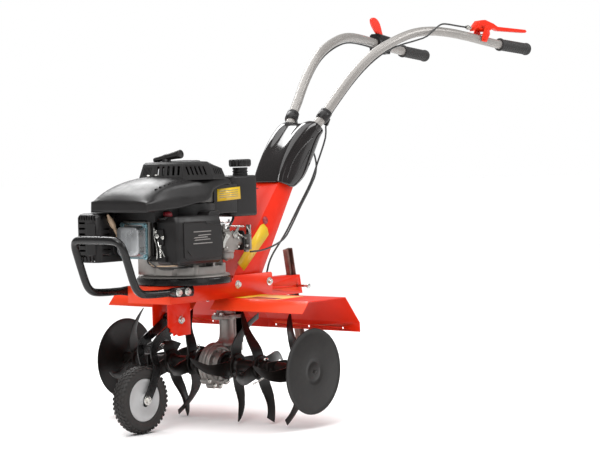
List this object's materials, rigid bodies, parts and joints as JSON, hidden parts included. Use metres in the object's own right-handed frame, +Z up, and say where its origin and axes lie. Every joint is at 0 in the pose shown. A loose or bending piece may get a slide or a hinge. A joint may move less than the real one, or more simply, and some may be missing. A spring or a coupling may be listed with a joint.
{
  "type": "garden tiller",
  "caption": "Front-engine garden tiller on a channel frame with a belt-driven worm gearbox, bent tine stars, guard discs, a folding front wheel and raised handlebars.",
  "frame": {"origin": "on the ground, under the middle of the whole machine's bounding box", "axes": "+X forward, towards the engine and front wheel; +Y to the machine's left; +Z up"},
  "size_m": [1.8061, 0.718, 1.1696],
  "materials": {
    "red_paint": "gloss powder coat",
    "black_paint": "satin",
    "gloss_black": "gloss",
    "black_plastic": "matte",
    "red_plastic": "satin",
    "handle_silver": "satin silver",
    "grip_rubber": "matte",
    "belt_rubber": "matte",
    "cable_sheath": "satin",
    "zinc": "zinc plated",
    "bright_steel": "satin",
    "dark_steel": "satin",
    "cast_alloy": "as cast",
    "plug_tan": "satin",
    "bronze": "machined",
    "tine_black": "satin",
    "tyre_rubber": "matte",
    "hub_grey": "satin"
  },
  "bodies": {
    "chassis": {"main_frame": "red_paint", "column": "red_paint", "wheel_bracket": "red_paint", "fender_left": "red_paint", "fender_right": "red_paint", "frame_bolts": "zinc", "bumper_bar": "black_paint", "column_cover": "gloss_black", "handle_tube_left": "handle_silver", "handle_tube_right": "handle_silver", "grip_left": "grip_rubber", "grip_right": "grip_rubber", "cable_clips": "black_plastic", "throttle_housing": "black_plastic", "clutch_bracket": "red_paint", "clutch_cable": "cable_sheath", "throttle_cable": "cable_sheath", "engine_base": "black_paint", "crankcase": "cast_alloy", "cylinder_fins": "cast_alloy", "rocker_cover": "bright_steel", "engine_bolts": "zinc", "muffler": "dark_steel", "muffler_guard": "black_paint", "air_box": "black_plastic", "carburettor": "cast_alloy", "spark_plug": "plug_tan", "blower_cover": "black_plastic", "fuel_tank": "black_plastic", "drive_belt": "belt_rubber", "gearbox_leg": "cast_alloy", "gearbox_left": "cast_alloy", "gearbox_right": "cast_alloy", "gearbox_bolts": "zinc"},
    "crank": {"crankshaft": "dark_steel", "drive_pulley": "dark_steel"},
    "worm": {"worm_shaft": "dark_steel", "driven_pulley": "dark_steel"},
    "rotor": {"output_shaft": "dark_steel", "worm_wheel": "bronze", "tines_left_inner": "tine_black", "tines_left_outer": "tine_black", "tines_right_inner": "tine_black", "tines_right_outer": "tine_black", "disc_left": "tine_black", "disc_right": "tine_black", "tine_pins": "zinc"},
    "tensioner": {"tension_arm": "zinc"},
    "idler": {"idler_pulley": "dark_steel"},
    "clutch": {"clutch_lever": "red_paint"},
    "throttle": {"throttle_lever": "red_plastic"},
    "carb_arm": {"throttle_arm": "bright_steel"},
    "starter": {"starter_grip": "black_plastic"},
    "cap": {"fuel_cap": "black_plastic"},
    "wheel_arm": {"wheel_fork": "black_paint", "wheel_axle": "zinc"},
    "wheel": {"tyre": "tyre_rubber", "wheel_hub": "hub_grey"},
    "stake": {"depth_stake": "bright_steel"},
    "hitch_pin": {"hitch_pin": "zinc"}
  },
  "joints": [
    {"name": "tine_spin", "type": "hinge", "parent": "chassis", "child": "rotor", "pos_m": [0.435, 0, 0.153], "axis": [0, 1, 0], "continuous": true},
    {"name": "worm_spin", "type": "hinge", "parent": "chassis", "child": "worm", "pos_m": [0.385, 0, 0.26], "axis": [0, 0, 1], "continuous": true},
    {"name": "crank_spin", "type": "hinge", "parent": "chassis", "child": "crank", "pos_m": [0.553, 0, 0.48], "axis": [0, 0, 1], "continuous": true},
    {"name": "clutch_squeeze", "type": "hinge", "parent": "chassis", "child": "clutch", "pos_m": [-0.655, 0.187, 1.112], "axis": [0, -1, 0], "range_deg": [0, 6.5], "stiffness_Nm_per_rad": 20, "springref_deg": -5.73},
    {"name": "tension_swing", "type": "hinge", "parent": "chassis", "child": "tensioner", "pos_m": [0.535, 0.062, 0.38], "axis": [0, 0, 1], "range_deg": [0, 12], "deforming": ["drive_belt"]},
    {"name": "idler_spin", "type": "hinge", "parent": "tensioner", "child": "idler", "pos_m": [0.47914, 0.05809, 0.363], "axis": [0, 0, 1], "continuous": true},
    {"name": "throttle_swing", "type": "hinge", "parent": "chassis", "child": "throttle", "pos_m": [-0.61296, -0.18328, 1.10761], "axis": [0.0651, -0.9979, 0], "range_deg": [0, 50]},
    {"name": "carb_arm_swing", "type": "hinge", "parent": "chassis", "child": "carb_arm", "pos_m": [0.479, 0.082, 0.548], "axis": [0, 0, 1], "range_deg": [0, 30]},
    {"name": "starter_pull", "type": "slide", "parent": "chassis", "child": "starter", "axis": [-0.6, 0, 0.8], "range_m": [0, 0.35], "stiffness_N_per_m": 30, "springref_m": -0.3},
    {"name": "cap_turn", "type": "hinge", "parent": "chassis", "child": "cap", "pos_m": [0.351, 0.034, 0.706], "axis": [0, 0, 1], "range_deg": [0, 90]},
    {"name": "wheel_arm_fold", "type": "hinge", "parent": "chassis", "child": "wheel_arm", "pos_m": [0.601, 0, 0.292], "axis": [0, -1, 0], "range_deg": [0, 35]},
    {"name": "wheel_spin", "type": "hinge", "parent": "wheel_arm", "child": "wheel", "pos_m": [0.735, 0, 0.09], "axis": [0, 1, 0], "continuous": true},
    {"name": "stake_slide", "type": "slide", "parent": "chassis", "child": "stake", "axis": [0.1857, 0, 0.9826], "range_m": [-0.05, 0.1]},
    {"name": "hitch_pin_pull", "type": "slide", "parent": "chassis", "child": "hitch_pin", "axis": [0, 1, 0], "range_m": [0, 0.04]}
  ],
  "couplings": [
    {"joint": "worm_spin", "follows": "tine_spin", "ratio": 10},
    {"joint": "tension_swing", "follows": "clutch_squeeze", "ratio": 1.8},
    {"joint": "carb_arm_swing", "follows": "throttle_swing", "ratio": 0.6}
  ]
}
